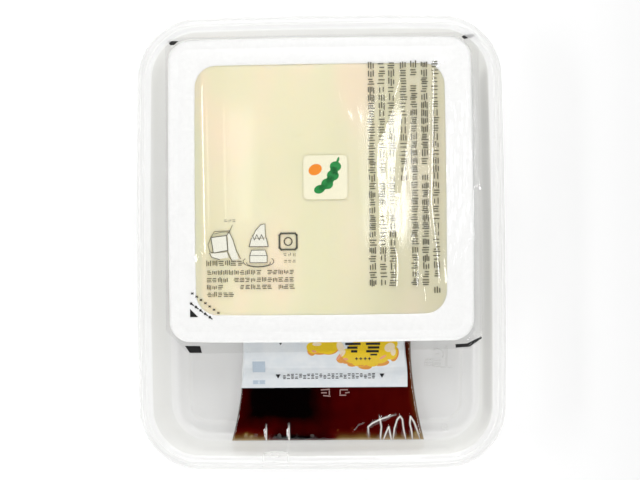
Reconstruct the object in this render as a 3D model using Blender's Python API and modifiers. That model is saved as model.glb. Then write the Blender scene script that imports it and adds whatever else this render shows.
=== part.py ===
"""Tofu pack: a sealed tub of tofu that stands on its two sauce sachets in an open tray.

Metres, +Z up. The origin is the middle of the tray's foot. The tub stands at the +Y end, and
the free ends of the sachets reach out from under it towards -Y.
"""
import math

import bmesh
import bpy

# Clear distance between pieces that touch
GAP = 0.0003

# Sheet that the tray and the tub are formed from, and the segments of a quarter round in plan
SHEET = 0.0006
CORNER_STEPS = 7
SIDE_STEPS = 5

# Tray, over the lip of its rim at the middle of each side
TRAY_HALF_X = 0.0616
TRAY_HALF_Y = 0.0760
TRAY_HEIGHT = 0.039
TRAY_CORNER = 0.0196
TRAY_BOW = 0.0010
RIM_WIDTH = 0.0046
RIM_LIP = 0.0018
RIM_LIP_FLARE = 0.0006
RIM_ROUND = 0.0006
TRAY_DRAFT = 0.0019
FOOT_FILLET = 0.0040
FOOT_WIDTH = 0.0030
PANEL_STEP = 0.0012
PANEL_RISE = 0.0010

# Tub, over its flange, with its centre's place along the tray
TUB_Y = 0.0177
TUB_HALF = 0.05135
TUB_CORNER = 0.0070
TUB_BOW = 0.0004
TUB_MOUTH_HALF = 0.042
TUB_MOUTH_CORNER = 0.0075
TUB_BASE_HALF = 0.0395
TUB_BASE_CORNER = 0.0085
TUB_HEIGHT = 0.0318
TUB_FILLET = 0.0040
TUB_LIP = 0.0014
TUB_FOOT = 0.0050
TUB_PANEL_RISE = 0.0008

# Tofu: the round of its top edge
TOFU_EDGE = 0.0008

# Lid film, with its overhang past the flange at the left, right, front and back
FILM_THICKNESS = 0.0003
FILM_LEFT = 0.0012
FILM_RIGHT = 0.0014
FILM_FRONT = 0.0034
FILM_BACK = 0.0005
FILM_CORNER = 0.0070

# Sachets: crimped edge, thickness of the crimp, and the squeezed thickness under the tub
CRIMP = 0.0050
SAUCE_CRIMP_THICKNESS = 0.0006
GINGER_CRIMP_THICKNESS = 0.0005
SQUEEZE_START = -0.0350
SQUEEZE_END = -0.0200

SAUCE_X = 0.00135
SAUCE_HALF_END = 0.0343
SAUCE_HALF_WAIST = 0.0300
SAUCE_FRONT = -0.0684
SAUCE_LENGTH = 0.0950
SAUCE_FULL = 0.0052
SAUCE_SQUEEZED = 0.0018
SAUCE_TIP_LIFT = 0.0018

GINGER_X = 0.0003
GINGER_HALF_END = 0.0292
GINGER_HALF_WAIST = 0.0284
GINGER_FRONT = -0.0501
GINGER_LENGTH = 0.0720
GINGER_FULL = 0.0026
GINGER_SQUEEZED = 0.0013

# Heights worked out from the stack: tray panel, sauce, ginger, tub, film
FLOOR_TOP = PANEL_RISE + SHEET
TUB_BASE_Z = FLOOR_TOP + SAUCE_SQUEEZED + GINGER_SQUEEZED + 3 * GAP
FLANGE_TOP = TUB_BASE_Z + TUB_HEIGHT
FILM_BOTTOM = FLANGE_TOP + GAP

COLLECTION = "tofu_pack"


def clear_scene():
    """Remove the objects that a new file comes with."""
    for item in list(bpy.data.objects):
        bpy.data.objects.remove(item, do_unlink=True)


def finish(name, mesh, color, roughness, smooth_angle=40):
    """Turn a mesh into a named object with its own material, shaded smooth across soft edges."""
    material = bpy.data.materials.new(name)
    material.use_nodes = True
    shader = material.node_tree.nodes["Principled BSDF"]
    shader.inputs["Base Color"].default_value = (*color, 1)
    shader.inputs["Roughness"].default_value = roughness
    shader.inputs["Metallic"].default_value = 0
    mesh.materials.append(material)
    mesh.shade_smooth()
    mesh.set_sharp_from_angle(angle=math.radians(smooth_angle))
    item = bpy.data.objects.new(name, mesh)
    bpy.data.collections[COLLECTION].objects.link(item)
    return item


def arc(centre, radius, start, end, steps):
    """Points of a round stretch of a profile, with its angles in degrees."""
    angles = [math.radians(start + (end - start) * step / steps) for step in range(steps + 1)]
    return [(centre[0] + radius * math.cos(a), centre[1] + radius * math.sin(a)) for a in angles]


def outline(half_x, half_y, corner, bow):
    """Plan points of a rounded rectangle whose sides stand out by `bow` at their middles."""
    rounds = []
    for side_x, side_y, start in ((1, 1, 0), (-1, 1, 90), (-1, -1, 180), (1, -1, 270)):
        centre = (side_x * (half_x - corner), side_y * (half_y - corner))
        rounds.append(arc(centre, corner, start, start + 90, CORNER_STEPS))
    points = []
    for turn, ahead in zip(rounds, rounds[1:] + rounds[:1]):
        points += turn
        (x0, y0), (x1, y1) = turn[-1], ahead[0]
        for step in range(1, SIDE_STEPS):
            t = step / SIDE_STEPS
            points.append((x0 + (x1 - x0) * t, y0 + (y1 - y0) * t))
    return [
        (x - bow * (x / half_x) * (y / half_y) ** 2, y - bow * (y / half_y) * (x / half_x) ** 2)
        for x, y in points
    ]


def loft(bm, rings, centre_y=0.0):
    """Skin a stack of (half_x, half_y, corner, bow, z) outlines and return their vertex loops."""
    loops = []
    for half_x, half_y, corner, bow, z in rings:
        points = outline(half_x, half_y, corner, bow)
        loops.append([bm.verts.new((x, y + centre_y, z)) for x, y in points])
    for lower, upper in zip(loops, loops[1:]):
        for index in range(len(lower)):
            after = (index + 1) % len(lower)
            bm.faces.new((lower[index], lower[after], upper[after], upper[index]))
    return loops


def formed_sheet(name, rings, centre_y, color, roughness):
    """A thermoformed piece: the lofted outside with a closed floor, thickened to the inside."""
    bm = bmesh.new()
    loops = loft(bm, rings, centre_y)
    bm.faces.new(list(reversed(loops[0])))
    mesh = bpy.data.meshes.new(name)
    bm.to_mesh(mesh)
    bm.free()
    item = finish(name, mesh, color, roughness)
    sheet = item.modifiers.new("sheet", "SOLIDIFY")
    sheet.thickness = SHEET
    sheet.offset = -1
    sheet.use_even_offset = True
    return item


def solid_block(name, rings, centre, color, roughness):
    """A lofted solid with a flat face at its bottom and its top."""
    bm = bmesh.new()
    loops = loft(bm, rings)
    bm.faces.new(list(reversed(loops[0])))
    bm.faces.new(loops[-1])
    bmesh.ops.translate(bm, verts=bm.verts, vec=(centre[0], centre[1], 0))
    mesh = bpy.data.meshes.new(name)
    bm.to_mesh(mesh)
    bm.free()
    return finish(name, mesh, color, roughness)


def build_tray():
    """Open tray: raised floor panel, foot ring, round fillet, steep wall and a rim with a lip."""
    wall_top = RIM_WIDTH - SHEET
    wall_foot = wall_top + TRAY_DRAFT
    foot_outer = wall_foot + FOOT_FILLET
    foot_inner = foot_outer + FOOT_WIDTH
    under_rim = TRAY_HEIGHT - SHEET
    profile = [(foot_inner + PANEL_STEP, PANEL_RISE), (foot_inner, 0)]
    profile += arc((foot_outer, FOOT_FILLET), FOOT_FILLET, 270, 180, 5)
    profile += arc((wall_top - RIM_ROUND, under_rim - RIM_ROUND), RIM_ROUND, 0, 90, 3)
    lip = SHEET + RIM_LIP_FLARE + RIM_ROUND
    profile += arc((lip, under_rim - RIM_ROUND), RIM_ROUND, 90, 165, 3)
    profile.append((SHEET, under_rim - RIM_LIP))
    rings = [
        (TRAY_HALF_X - inset, TRAY_HALF_Y - inset, TRAY_CORNER - inset, TRAY_BOW, z)
        for inset, z in profile
    ]
    return formed_sheet("tray", rings, 0.0, (0.80, 0.81, 0.80), 0.15)


def tub_profile():
    """Outside of the tub from its floor panel to its lip, as (half size, height)."""
    under_flange = TUB_HEIGHT - SHEET
    foot_outer = TUB_BASE_HALF - TUB_FILLET
    foot_inner = foot_outer - TUB_FOOT
    wall_top = TUB_MOUTH_HALF + SHEET
    profile = [(foot_inner - TUB_PANEL_RISE, TUB_PANEL_RISE), (foot_inner, 0)]
    profile += arc((foot_outer, TUB_FILLET), TUB_FILLET, 270, 360, 4)
    profile += arc((wall_top + RIM_ROUND, under_flange - RIM_ROUND), RIM_ROUND, 180, 90, 2)
    lip = TUB_HALF - SHEET - RIM_ROUND
    profile += arc((lip, under_flange - RIM_ROUND), RIM_ROUND, 90, 0, 2)
    profile.append((TUB_HALF - SHEET, under_flange - TUB_LIP))
    return profile


def tub_corner(half):
    """Corner radius of the tub in plan: wide at its base, tighter at its mouth, by the wall's draft."""
    if half > TUB_MOUTH_HALF + SHEET + RIM_ROUND:
        return TUB_CORNER
    slope = (half - TUB_BASE_HALF) / (TUB_MOUTH_HALF - TUB_BASE_HALF)
    return TUB_BASE_CORNER + (TUB_MOUTH_CORNER - TUB_BASE_CORNER) * max(0, min(1, slope))


def build_tub():
    """Square tub with a flat flange that the film is sealed to, turned down at its edge."""
    rings = [
        (half, half, tub_corner(half), TUB_BOW, TUB_BASE_Z + z)
        for half, z in tub_profile()
    ]
    return formed_sheet("tub", rings, TUB_Y, (0.86, 0.86, 0.85), 0.35)


def build_tofu():
    """Block of tofu that fills the tub, with its edges a little rounded."""
    side = SHEET + GAP
    base = TUB_BASE_HALF - side
    top = TUB_MOUTH_HALF - GAP
    low = TUB_BASE_Z + TUB_PANEL_RISE + side
    high = FLANGE_TOP
    profile = arc((base - TUB_FILLET, low + TUB_FILLET), TUB_FILLET, 270, 360, 3)
    profile += arc((top - TOFU_EDGE, high - TOFU_EDGE), TOFU_EDGE, 0, 90, 2)
    rings = [(half, half, tub_corner(half), TUB_BOW, z) for half, z in profile]
    return solid_block("tofu", rings, (0, TUB_Y), (0.86, 0.82, 0.62), 0.45)


def build_film():
    """Lid film over the flange, cut square, so its corners stand out past the flange's."""
    half_x = TUB_HALF + (FILM_LEFT + FILM_RIGHT) / 2
    half_y = TUB_HALF + (FILM_FRONT + FILM_BACK) / 2
    centre = ((FILM_RIGHT - FILM_LEFT) / 2, TUB_Y + (FILM_BACK - FILM_FRONT) / 2)
    rings = [
        (half_x, half_y, FILM_CORNER, TUB_BOW, z)
        for z in (FILM_BOTTOM, FILM_BOTTOM + FILM_THICKNESS)
    ]
    return solid_block("lid_film", rings, centre, (0.90, 0.90, 0.88), 0.1)


def smooth_step(value, low, high):
    """Ease from 0 at `low` to 1 at `high`."""
    t = max(0, min(1, (value - low) / (high - low)))
    return t * t * (3 - 2 * t)


def fullness(y, front, length, full, squeezed, crimp_thickness):
    """Bulge over the crimp's thickness: free in front of the tub, squeezed flat under it."""
    ends = smooth_step(y, front + CRIMP * 0.7, front + CRIMP * 2.6)
    ends *= 1 - smooth_step(y, front + length - CRIMP * 2.2, front + length - CRIMP)
    under_tub = smooth_step(y, SQUEEZE_START, SQUEEZE_END)
    return ends * (full + (squeezed - full) * under_tub - crimp_thickness)


def across(u):
    """Rounded cross-section of a filled sachet: 1 at its middle and 0 at its side edges."""
    return (1 - abs(u) ** 2.6) ** 0.7


def half_width(y, front, length, end, waist):
    """The filled middle pulls the side edges in, and the crimped ends keep the full width."""
    inward = smooth_step(y, front + CRIMP * 0.8, front + CRIMP * 4)
    inward *= 1 - smooth_step(y, front + length - CRIMP * 3, front + length - CRIMP * 0.8)
    return end + (waist - end) * inward


def sauce_bottom(y):
    """Underside of the sauce pouch: flat on the floor, its front crimp riding up the fillet."""
    tip = 1 - smooth_step(y, SAUCE_FRONT, SAUCE_FRONT + CRIMP * 1.4)
    return FLOOR_TOP + GAP + SAUCE_TIP_LIFT * tip


def sauce_top(x, y):
    """Upper side of the sauce pouch at a place in the tray."""
    half = half_width(y, SAUCE_FRONT, SAUCE_LENGTH, SAUCE_HALF_END, SAUCE_HALF_WAIST)
    u = max(-1, min(1, (x - SAUCE_X) / half))
    bulge = fullness(y, SAUCE_FRONT, SAUCE_LENGTH, SAUCE_FULL, SAUCE_SQUEEZED, SAUCE_CRIMP_THICKNESS)
    return sauce_bottom(y) + SAUCE_CRIMP_THICKNESS + bulge * across(u)


def ginger_bottom(x, y):
    """Underside of the ginger sachet, which lies over the sauce pouch."""
    return sauce_top(x, y) + GAP


def ginger_top(x, y):
    """Upper side of the ginger sachet."""
    half = half_width(y, GINGER_FRONT, GINGER_LENGTH, GINGER_HALF_END, GINGER_HALF_WAIST)
    u = max(-1, min(1, (x - GINGER_X) / half))
    bulge = fullness(y, GINGER_FRONT, GINGER_LENGTH, GINGER_FULL, GINGER_SQUEEZED, GINGER_CRIMP_THICKNESS)
    return ginger_bottom(x, y) + GINGER_CRIMP_THICKNESS + bulge * across(u)


def build_sachet(name, centre_x, front, length, end, waist, bottom, top, color, roughness):
    """A pillow between two height functions, from a grid that is extruded to a slab."""
    columns, rows = 14, 22
    bm = bmesh.new()
    bmesh.ops.create_grid(bm, x_segments=columns, y_segments=rows, size=1)
    lower = list(bm.verts)
    lifted = bmesh.ops.extrude_face_region(bm, geom=list(bm.faces))
    upper = [part for part in lifted["geom"] if isinstance(part, bmesh.types.BMVert)]
    for verts, height in ((lower, bottom), (upper, top)):
        for vert in verts:
            y = front + length * (vert.co.y + 1) / 2
            x = centre_x + vert.co.x * half_width(y, front, length, end, waist)
            vert.co = (x, y, height(x, y))
    bmesh.ops.recalc_face_normals(bm, faces=bm.faces)
    mesh = bpy.data.meshes.new(name)
    bm.to_mesh(mesh)
    bm.free()
    return finish(name, mesh, color, roughness)


def build_sachets():
    """Sauce pouch on the tray's floor, and the ginger sachet over it."""
    build_sachet("sauce_sachet", SAUCE_X, SAUCE_FRONT, SAUCE_LENGTH, SAUCE_HALF_END, SAUCE_HALF_WAIST,
                 lambda x, y: sauce_bottom(y), sauce_top, (0.06, 0.005, 0.003), 0.15)
    build_sachet("ginger_sachet", GINGER_X, GINGER_FRONT, GINGER_LENGTH, GINGER_HALF_END, GINGER_HALF_WAIST,
                 ginger_bottom, ginger_top, (0.80, 0.83, 0.86), 0.3)


clear_scene()
bpy.context.scene.collection.children.link(bpy.data.collections.new(COLLECTION))
build_tray()
build_sachets()
build_tub()
build_tofu()
build_film()
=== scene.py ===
"""Tofu pack: a film-sealed tub of tofu that stands on its two sauce sachets in an open tray.

Metres, +Z up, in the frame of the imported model. Sizes are written in millimetres times MM.
"""
import math
import random

import bpy
from mathutils import Matrix, Vector, noise


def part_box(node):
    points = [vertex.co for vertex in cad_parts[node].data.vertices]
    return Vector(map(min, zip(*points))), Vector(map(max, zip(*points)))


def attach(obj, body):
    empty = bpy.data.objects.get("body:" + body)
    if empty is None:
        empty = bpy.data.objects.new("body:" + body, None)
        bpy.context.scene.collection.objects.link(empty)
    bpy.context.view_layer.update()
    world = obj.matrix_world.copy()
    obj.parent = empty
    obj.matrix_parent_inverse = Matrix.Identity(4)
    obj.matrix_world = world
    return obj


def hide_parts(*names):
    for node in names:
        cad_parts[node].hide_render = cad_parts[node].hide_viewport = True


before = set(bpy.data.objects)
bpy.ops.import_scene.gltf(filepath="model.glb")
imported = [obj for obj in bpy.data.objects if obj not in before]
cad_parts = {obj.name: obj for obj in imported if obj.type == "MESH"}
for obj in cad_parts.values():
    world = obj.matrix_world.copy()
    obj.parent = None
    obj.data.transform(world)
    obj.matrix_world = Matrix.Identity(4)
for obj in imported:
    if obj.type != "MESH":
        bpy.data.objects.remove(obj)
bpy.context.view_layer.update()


# --- Camera ------------------------------------------------------------------
# A long lens almost straight above the tray. It stands a little to the right and to the front, so that
# the walls at the left and at the back show most.
MM = 0.001
tray_low, tray_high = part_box("tray")
CAMERA_PLACE = (20.6 * MM, -19.9 * MM, tray_high.z + 600 * MM)
CAMERA_TURN = (1.93, 2.0, -0.55)

bpy.ops.object.camera_add(location=CAMERA_PLACE, rotation=[math.radians(turn) for turn in CAMERA_TURN])
camera = bpy.context.object
camera.name = "camera"
camera.data.lens = 101.2
camera.data.sensor_width = 36
camera.data.clip_end = 10
bpy.context.scene.camera = camera
bpy.context.scene.view_settings.view_transform = "Standard"


# --- Tray --------------------------------------------------------------------
# An open tray, vacuum-formed from one milky clear PET sheet. Its rim has a bead and a flared lip, and its
# floor is a raised panel inside a foot ring. It carries everything else.
TRAY_HALF_X = 61.6 * MM
TRAY_HALF_Y = 76.0 * MM
TRAY_CORNER = 19.6 * MM
TRAY_BOW = 1.0 * MM
TRAY_SHEET = 0.5 * MM
FLOOR_TOP = 1.6 * MM
CORNER_STEPS = 12
SIDE_STEPS = 12

# Upper side of the sheet, as (distance in from the lip, height), both in millimetres
RIM = tray_high.z / MM
TRAY_PROFILE = [(0, RIM - 2.4), (0.06, RIM - 1.6), (0.16, RIM - 1.15), (0.4, RIM - 0.86), (0.8, RIM - 0.78),
                (1.24, RIM - 0.76), (1.34, RIM - 0.7), (1.42, RIM - 0.26), (1.56, RIM - 0.13), (1.8, RIM - 0.08),
                (2.3, RIM - 0.08), (2.54, RIM - 0.13), (2.68, RIM - 0.26), (2.76, RIM - 0.62),
                (2.9, RIM - 0.7), (3.7, RIM - 0.74), (4.1, RIM - 0.8), (4.4, RIM - 1.0),
                (4.58, RIM - 1.4), (4.66, RIM - 2.4), (4.9, 32), (5.3, 24), (5.7, 16), (6.1, 9), (6.42, 5.2),
                (6.6, 3.6), (6.95, 2.5), (7.5, 1.65), (8.3, 1.0), (9.2, 0.68), (10.2, 0.6), (12.4, 0.6),
                (12.8, 0.7), (13.2, 1.05), (13.6, 1.42), (14.0, 1.57), (14.5, 1.6)]


def outline(half_x, half_y, corner, bow):
    """Plan points of a rounded rectangle whose sides stand out by `bow` at their middles."""
    points = []
    for side_x, side_y, start in ((1, 1, 0), (-1, 1, 90), (-1, -1, 180), (1, -1, 270)):
        for step in range(CORNER_STEPS + 1):
            angle = math.radians(start + 90 * step / CORNER_STEPS)
            points.append((side_x * (half_x - corner) + corner * math.cos(angle),
                           side_y * (half_y - corner) + corner * math.sin(angle)))
        (x, y), along_x = points[-1], start in (0, 180)
        far = -x if along_x else -y
        for step in range(1, SIDE_STEPS):
            t = step / SIDE_STEPS
            points.append((x + (far - x) * t, y) if along_x else (x, y + (far - y) * t))
    return [(x - bow * (x / half_x) * (y / half_y) ** 2, y - bow * (y / half_y) * (x / half_x) ** 2)
            for x, y in points]


def only(piece):
    """Select one piece and make it active."""
    bpy.ops.object.select_all(action="DESELECT")
    piece.select_set(True)
    bpy.context.view_layer.objects.active = piece


def stepped_sheet(name, half_x, half_y, corner, bow, centre_y, profile, panel=()):
    """A formed sheet: a flat round-cornered face that is inset again and again along a profile, and then scaled
    along `panel`'s (share of its size, rise in millimetres), where an inset would run out of corner."""
    points = outline(half_x, half_y, corner, bow)
    bpy.ops.object.select_all(action="DESELECT")
    bpy.ops.mesh.primitive_circle_add(vertices=len(points), radius=half_x, fill_type="NGON")
    piece = bpy.context.object
    piece.name = piece.data.name = name
    for vertex, (x, y) in zip(piece.data.vertices, points):
        vertex.co = (x, centre_y + y, profile[0][1] * MM)
    piece.data.update()
    turned_over = piece.data.polygons[0].normal.z < 0
    bpy.ops.object.mode_set(mode="EDIT")
    bpy.ops.mesh.select_all(action="SELECT")
    if turned_over:
        bpy.ops.mesh.flip_normals()
    for (inset, z), (next_inset, next_z) in zip(profile, profile[1:]):
        bpy.ops.mesh.inset(thickness=(next_inset - inset) * MM, depth=(next_z - z) * MM)
    for share, rise in panel:
        bpy.ops.mesh.extrude_region_move(TRANSFORM_OT_translate={"value": (0, 0, rise * MM)})
        bpy.ops.transform.resize(value=(share, share, 1), center_override=(0, centre_y, 0))
    bpy.ops.object.mode_set(mode="OBJECT")
    return piece


def apply_modifier(piece, kind, **settings):
    """Add a modifier to a piece and apply it."""
    only(piece)
    modifier = piece.modifiers.new(kind.lower(), kind)
    for name, value in settings.items():
        setattr(modifier, name, value)
    bpy.ops.object.modifier_apply(modifier=modifier.name)


def smooth(piece, degrees=35):
    """Shade a piece smooth, apart from edges sharper than this."""
    only(piece)
    bpy.ops.object.shade_smooth_by_angle(angle=math.radians(degrees))


tray = stepped_sheet("tray_shell", TRAY_HALF_X, TRAY_HALF_Y, TRAY_CORNER, TRAY_BOW, 0, TRAY_PROFILE)
apply_modifier(tray, "SOLIDIFY", thickness=TRAY_SHEET, offset=-1, use_even_offset=True)
smooth(tray)


def linear(code):
    """Linear colour from an sRGB hex value."""
    parts = [int(code[at:at + 2], 16) / 255 for at in (1, 3, 5)]
    return (*(p / 12.92 if p <= 0.04045 else ((p + 0.055) / 1.055) ** 2.4 for p in parts), 1)


def new_material(name):
    """An empty material and its node tree."""
    material = bpy.data.materials.new(name)
    material.use_nodes = True
    material.node_tree.nodes.clear()
    return material, material.node_tree


def node(tree, kind, sockets=(), stops=(), **settings):
    """Add a node with its settings, the values and links of its sockets, and a ramp's colour stops."""
    made = tree.nodes.new("ShaderNode" + kind)
    for name, value in settings.items():
        setattr(made, name, value)
    for name, value in dict(sockets).items():
        if isinstance(value, bpy.types.Node):
            value = value.outputs[0]
        if isinstance(value, bpy.types.NodeSocket):
            tree.links.new(value, made.inputs[name])
        else:
            made.inputs[name].default_value = value
    for index, (place, code) in enumerate(stops):
        ramp = made.color_ramp.elements
        stop = ramp[index] if index < 2 else ramp.new(place)
        stop.position, stop.color = place, linear(code)
    return made


# Milky clear PET, glossy on both sides. Half of the light goes straight through, and the cloud in it spreads
# the rest. Where the sheet is seen edge on, the light has a longer way through it, so it looks darker there,
# which draws the lines of the rim. The sheet waves very slightly over about 9 mm, as a drawn sheet does.
milky_pet, tree = new_material("milky_clear_pet")
place = node(tree, "TexCoord")
waves = node(tree, "TexNoise", {"Vector": place.outputs["Object"], "Scale": 110.0, "Detail": 1.0})
ripple = node(tree, "Bump", {"Height": waves, "Strength": 0.1, "Distance": 0.5 * MM})
slant = node(tree, "LayerWeight", {"Blend": 0.5})
tint = node(tree, "ValToRGB", {"Fac": slant.outputs["Facing"]},
            [(0.0, "#f9f9f9"), (0.6, "#f8f8f7"), (0.86, "#f2f2f0"), (0.95, "#b8b8b6"), (1.0, "#505050")])
body = node(tree, "BsdfPrincipled", {"Base Color": tint.outputs["Color"], "Roughness": 0.5,
                                     "Specular IOR Level": 0.0})
glow = node(tree, "BsdfTranslucent", {"Color": tint.outputs["Color"]})
cloudy = node(tree, "MixShader", {"Fac": 0.5, 1: body, 2: glow})
clear = node(tree, "BsdfTransparent", {"Color": tint.outputs["Color"]})
sheet = node(tree, "MixShader", {"Fac": 0.5, 1: cloudy, 2: clear})
view = node(tree, "Fresnel", {"IOR": 1.5, "Normal": ripple})
hazy = node(tree, "Math", {0: view, 1: 0.16}, operation="MINIMUM")
facing = node(tree, "NewGeometry")
front = node(tree, "Math", {0: 1.0, 1: facing.outputs["Backfacing"]}, operation="SUBTRACT")
shine = node(tree, "Math", {0: hazy, 1: front}, operation="MULTIPLY")
gloss = node(tree, "BsdfGlossy", {"Color": linear("#ffffff"), "Roughness": 0.08, "Normal": ripple})
mixed = node(tree, "MixShader", {"Fac": shine, 1: sheet, 2: gloss})
node(tree, "OutputMaterial", {"Surface": mixed})
tray.data.materials.append(milky_pet)
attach(tray, "root")
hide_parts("tray")


# --- Tray embossing ----------------------------------------------------------
# Small raised marks that the mould leaves in the tray: a stacking lug in the front wall and rim, dots and
# short bars on the floor, a rib with a flared foot, and fine ticks across the rim.
BAR_HEIGHT = 0.3 * MM
# Each bar is (x, y, z of its foot, length along x, length along y), in millimetres
BARS = [(39.4, -41.3, 1.6, 2.6, 0.35), (39.4, -42.3, 1.6, 2.6, 0.35), (39.4, -43.2, 1.6, 2.6, 0.35),
        (42.9, -39.6, 1.6, 0.75, 7.0), (41.6, -43.6, 1.6, 1.6, 0.4), (44.2, -43.6, 1.6, 1.6, 0.4),
        (39.6, -38.9, 1.6, 1.4, 0.3), (-17.5, -71.4, RIM - 1.0, 0.4, 1.2), (-14.6, -71.4, RIM - 1.0, 0.4, 1.2),
        (-16.0, -73.4, RIM - 0.62, 3.0, 0.4), (59.2, 34.4, RIM - 0.68, 3.4, 0.3),
        (59.3, 47.2, RIM - 0.68, 3.4, 0.3)]
DOTS = [(35.2 + 0.85 * column, -40.9 - 0.95 * row) for row in range(3) for column in range(4)]
DOTS += [(41.0 + 0.9 * column, -63.7 - 0.9 * row) for row in range(3) for column in range(3)]


def joined(name, parts):
    """Join parts into one piece with its object at the origin."""
    bpy.ops.object.select_all(action="DESELECT")
    for part in parts:
        part.select_set(True)
    bpy.context.view_layer.objects.active = parts[0]
    if len(parts) > 1:
        bpy.ops.object.join()
    piece = bpy.context.object
    bpy.ops.object.transform_apply(location=True, rotation=True, scale=True)
    piece.name = piece.data.name = name
    return piece


raised = []
for x, y, z, along_x, along_y in BARS:
    bpy.ops.object.select_all(action="DESELECT")
    bpy.ops.mesh.primitive_cube_add(size=1, location=(x * MM, y * MM, z * MM + BAR_HEIGHT / 4),
                                    scale=(along_x * MM, along_y * MM, BAR_HEIGHT))
    bpy.ops.object.transform_apply(location=False, rotation=False, scale=True)
    bar = bpy.context.object
    apply_modifier(bar, "BEVEL", width=0.1 * MM, segments=2)
    raised.append(bar)
for x, y in DOTS:
    bpy.ops.object.select_all(action="DESELECT")
    bpy.ops.mesh.primitive_uv_sphere_add(segments=8, ring_count=6, radius=0.26 * MM,
                                         location=(x * MM, y * MM, FLOOR_TOP))
    raised.append(bpy.context.object)


def tube(name, points, radius):
    """A round bead along points given in millimetres, as a closed mesh."""
    curve = bpy.data.curves.new(name, "CURVE")
    curve.dimensions = "3D"
    curve.bevel_depth, curve.bevel_resolution, curve.use_fill_caps = radius, 2, True
    spline = curve.splines.new("POLY")
    spline.points.add(len(points) - 1)
    for point, (x, y, z) in zip(spline.points, points):
        point.co = (x * MM, y * MM, z * MM, 1)
    bead = bpy.data.objects.new(name, curve)
    bpy.context.scene.collection.objects.link(bead)
    only(bead)
    bpy.ops.object.convert(target="MESH")
    return bpy.context.object


# The lug is an arch in the wall whose legs run up and out over the rim
lug = [(-19.8, -75.0, RIM - 1.2), (-19.8, -74.4, RIM - 0.6), (-19.8, -71.5, RIM - 0.5), (-19.8, -71.0, RIM - 1.2),
       (-19.8, -70.9, RIM - 3.5)]
for step in range(13):
    turn = math.pi * step / 12
    drop = 3.5 + 5.0 * math.sin(turn)
    lug.append((-15.65 - 4.15 * math.cos(turn), -70.9 + 0.055 * (drop - 3.5), RIM - drop))
lug += [(-11.5, y, z) for _, y, z in reversed(lug[:5])]
raised.append(tube("lug", lug, 0.3 * MM))
raised.append(tube("floor_arc", [(39.6 + 2.2 * math.cos(math.radians(a)), -39.0 + 1.9 * math.sin(math.radians(a)),
                                  1.65) for a in range(-40, 130, 12)], 0.17 * MM))
embossing = joined("tray_embossing", raised)
smooth(embossing)
embossing.data.materials.clear()
embossing.data.materials.append(milky_pet)
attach(embossing, "root")


# --- Sauce pouch, liquid -----------------------------------------------------
# Soy sauce in the lower sachet. It fills the pouch nearly to its seals, lies deepest at the left and in the
# middle, and is pressed flat where the tub stands on it.
SAUCE_X = 0.75
SAUCE_HALF_END = 33.9
SAUCE_HALF_WAIST = 29.6
SAUCE_FRONT = -68.8
SAUCE_LENGTH = 95.0
SAUCE_SEAL = 5.0
SAUCE_FULL = 5.2
SAUCE_SQUEEZED = 1.8
SQUEEZE = (-35.0, -20.0)
POUCH_FLOOR = 1.9


def ease(value, low, high):
    """Rise smoothly from 0 at `low` to 1 at `high`."""
    t = max(0.0, min(1.0, (value - low) / (high - low)))
    return t * t * (3 - 2 * t)


def sauce_half(y):
    """Half width of the pouch: full at its sealed ends, drawn in where it is filled."""
    inward = 1 - max(0.0, (-35.5 - y) / (-35.5 - SAUCE_FRONT)) ** 1.9
    inward *= 1 - ease(y, SAUCE_FRONT + SAUCE_LENGTH - 15, SAUCE_FRONT + SAUCE_LENGTH - 4)
    return SAUCE_HALF_END + (SAUCE_HALF_WAIST - SAUCE_HALF_END) * inward


def sauce_under(y):
    """Underside of the pouch: flat on the floor, its front end riding up the round of the tray."""
    return POUCH_FLOOR + 2.5 * (1 - ease(y, SAUCE_FRONT, SAUCE_FRONT + 9))


def sauce_fill(y):
    """Thickness of the filling along the pouch, whose upper side stays nearly level up to its front seal."""
    level = POUCH_FLOOR + SAUCE_FULL - 0.08 - 0.018 * max(0.0, -42 - y) - 1.7 * max(0.0, (-68.2 - y) / 0.6) ** 2
    filling = level - sauce_under(y) - 0.42 + (SAUCE_SQUEEZED - SAUCE_FULL) * ease(y, *SQUEEZE)
    return max(0.0, filling) * (1 - ease(y, SAUCE_FRONT + SAUCE_LENGTH - 11, SAUCE_FRONT + SAUCE_LENGTH - 5))


def across(u):
    """Round cross-section of a filled sachet: 1 in its middle and 0 at its side edges."""
    return math.sqrt(max(0.0, 1 - max(0.0, (abs(u) - 0.975) / 0.025) ** 2))


def slab(name, columns, rows, place):
    """A closed flat bag: a grid extruded upwards, whose two sides `place` then sets in millimetres."""
    bpy.ops.object.select_all(action="DESELECT")
    bpy.ops.mesh.primitive_grid_add(x_subdivisions=columns, y_subdivisions=rows, size=2)
    piece = bpy.context.object
    piece.name = piece.data.name = name
    bpy.ops.object.mode_set(mode="EDIT")
    bpy.ops.mesh.select_all(action="SELECT")
    bpy.ops.mesh.extrude_region_move(TRANSFORM_OT_translate={"value": (0, 0, 1)})
    bpy.ops.object.mode_set(mode="OBJECT")
    for vertex in piece.data.vertices:
        u, v, side = vertex.co
        vertex.co = Vector(place(u, v, side)) * MM
    bpy.ops.object.mode_set(mode="EDIT")
    bpy.ops.mesh.select_all(action="SELECT")
    bpy.ops.mesh.normals_make_consistent(inside=False)
    bpy.ops.object.mode_set(mode="OBJECT")
    return piece


def sauce_liquid_place(u, v, side):
    """The liquid stops half a millimetre short of the seals."""
    y = SAUCE_FRONT + 0.2 + (SAUCE_LENGTH - 5) * (v + 1) / 2
    half = sauce_half(y)
    left, right = SAUCE_X - half + 0.2, SAUCE_X + half - 0.2
    x = left + (right - left) * (u + 1) / 2
    depth = sauce_fill(y) * across(u) * 0.97
    return x, y, sauce_under(y) + 0.16 + side * (0.12 + depth)


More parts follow.
